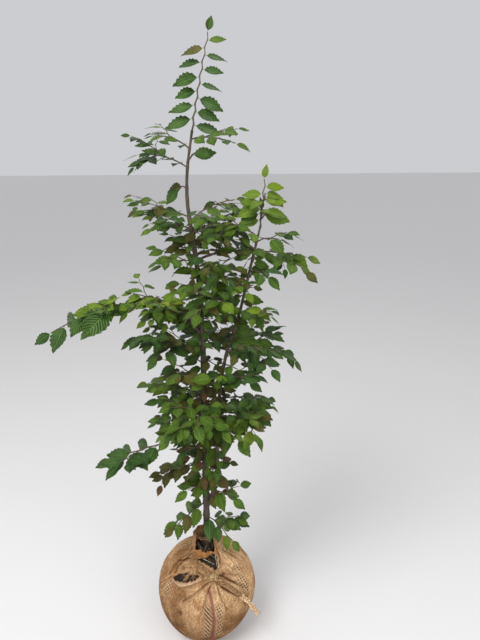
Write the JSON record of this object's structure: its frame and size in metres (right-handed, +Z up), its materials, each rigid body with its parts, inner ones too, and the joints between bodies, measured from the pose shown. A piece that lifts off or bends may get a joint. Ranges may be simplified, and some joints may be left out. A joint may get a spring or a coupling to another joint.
{
  "type": "sapling with root ball",
  "caption": "Leafy hornbeam sapling with two upright stems, standing on a round root ball wrapped and knotted in hessian cloth, ready for planting.",
  "frame": {"origin": "centre of the root ball's flat underside, where it rests on the ground", "axes": "+Z up along the trunk, -Y towards the knotted front of the wrap, +X to its right"},
  "size_m": [0.7482, 0.3843, 1.8182],
  "materials": {
    "bark": "matte",
    "foliage": "satin",
    "soil": "matte",
    "hessian": "matte"
  },
  "bodies": {
    "root": {"arch_front_shoot": "foliage", "arch_inner_shoot": "foliage", "arch_outer_shoot": "foliage", "arch_upper_shoot": "foliage", "back_shoot_1": "foliage", "back_shoot_3": "foliage", "back_shoot_5": "foliage", "corner_knot": "hessian", "corner_twist_left": "hessian", "corner_twist_right": "hessian", "foot_left_shoot": "foliage", "foot_right_shoot": "foliage", "front_shoot_2": "foliage", "front_shoot_4": "foliage", "hessian_wrap": "hessian", "leader_shoot": "foliage", "left_above_arch_shoot": "foliage", "left_arch_bough": "bark", "left_below_arch_shoot": "foliage", "left_drooping_shoot": "foliage", "left_high_front_shoot": "foliage", "left_high_shoot": "foliage", "left_low_back_shoot": "foliage", "left_low_front_shoot": "foliage", "left_low_shoot": "foliage", "left_middle_back_shoot": "foliage", "left_middle_low_shoot": "foliage", "left_middle_shoot": "foliage", "left_short_shoot": "foliage", "left_slight_shoot": "foliage", "low_left_bough": "bark", "low_left_outer_shoot": "foliage", "neck_left_shoot": "foliage", "right_high_back_shoot": "foliage", "right_high_front_shoot": "foliage", "right_high_shoot": "foliage", "right_long_bough": "bark", "right_middle_shoot": "foliage", "right_outer_shoot": "foliage", "right_short_shoot": "foliage", "second_back_shoot": "foliage", "second_high_back_shoot": "foliage", "second_high_front_shoot": "foliage", "second_high_shoot": "foliage", "second_inner_front_shoot": "foliage", "second_inner_low_shoot": "foliage", "second_inner_shoot": "foliage", "second_long_shoot": "foliage", "second_low_back_shoot": "foliage", "second_low_front_shoot": "foliage", "second_low_shoot": "foliage", "second_middle_shoot": "foliage", "second_stem": "bark", "second_top_shoot": "foliage", "soil_ball": "soil", "top_left_shoot": "foliage", "top_right_shoot": "foliage", "trunk": "bark", "upper_left_shoot": "foliage", "upper_right_shoot": "foliage"}
  },
  "joints": []
}
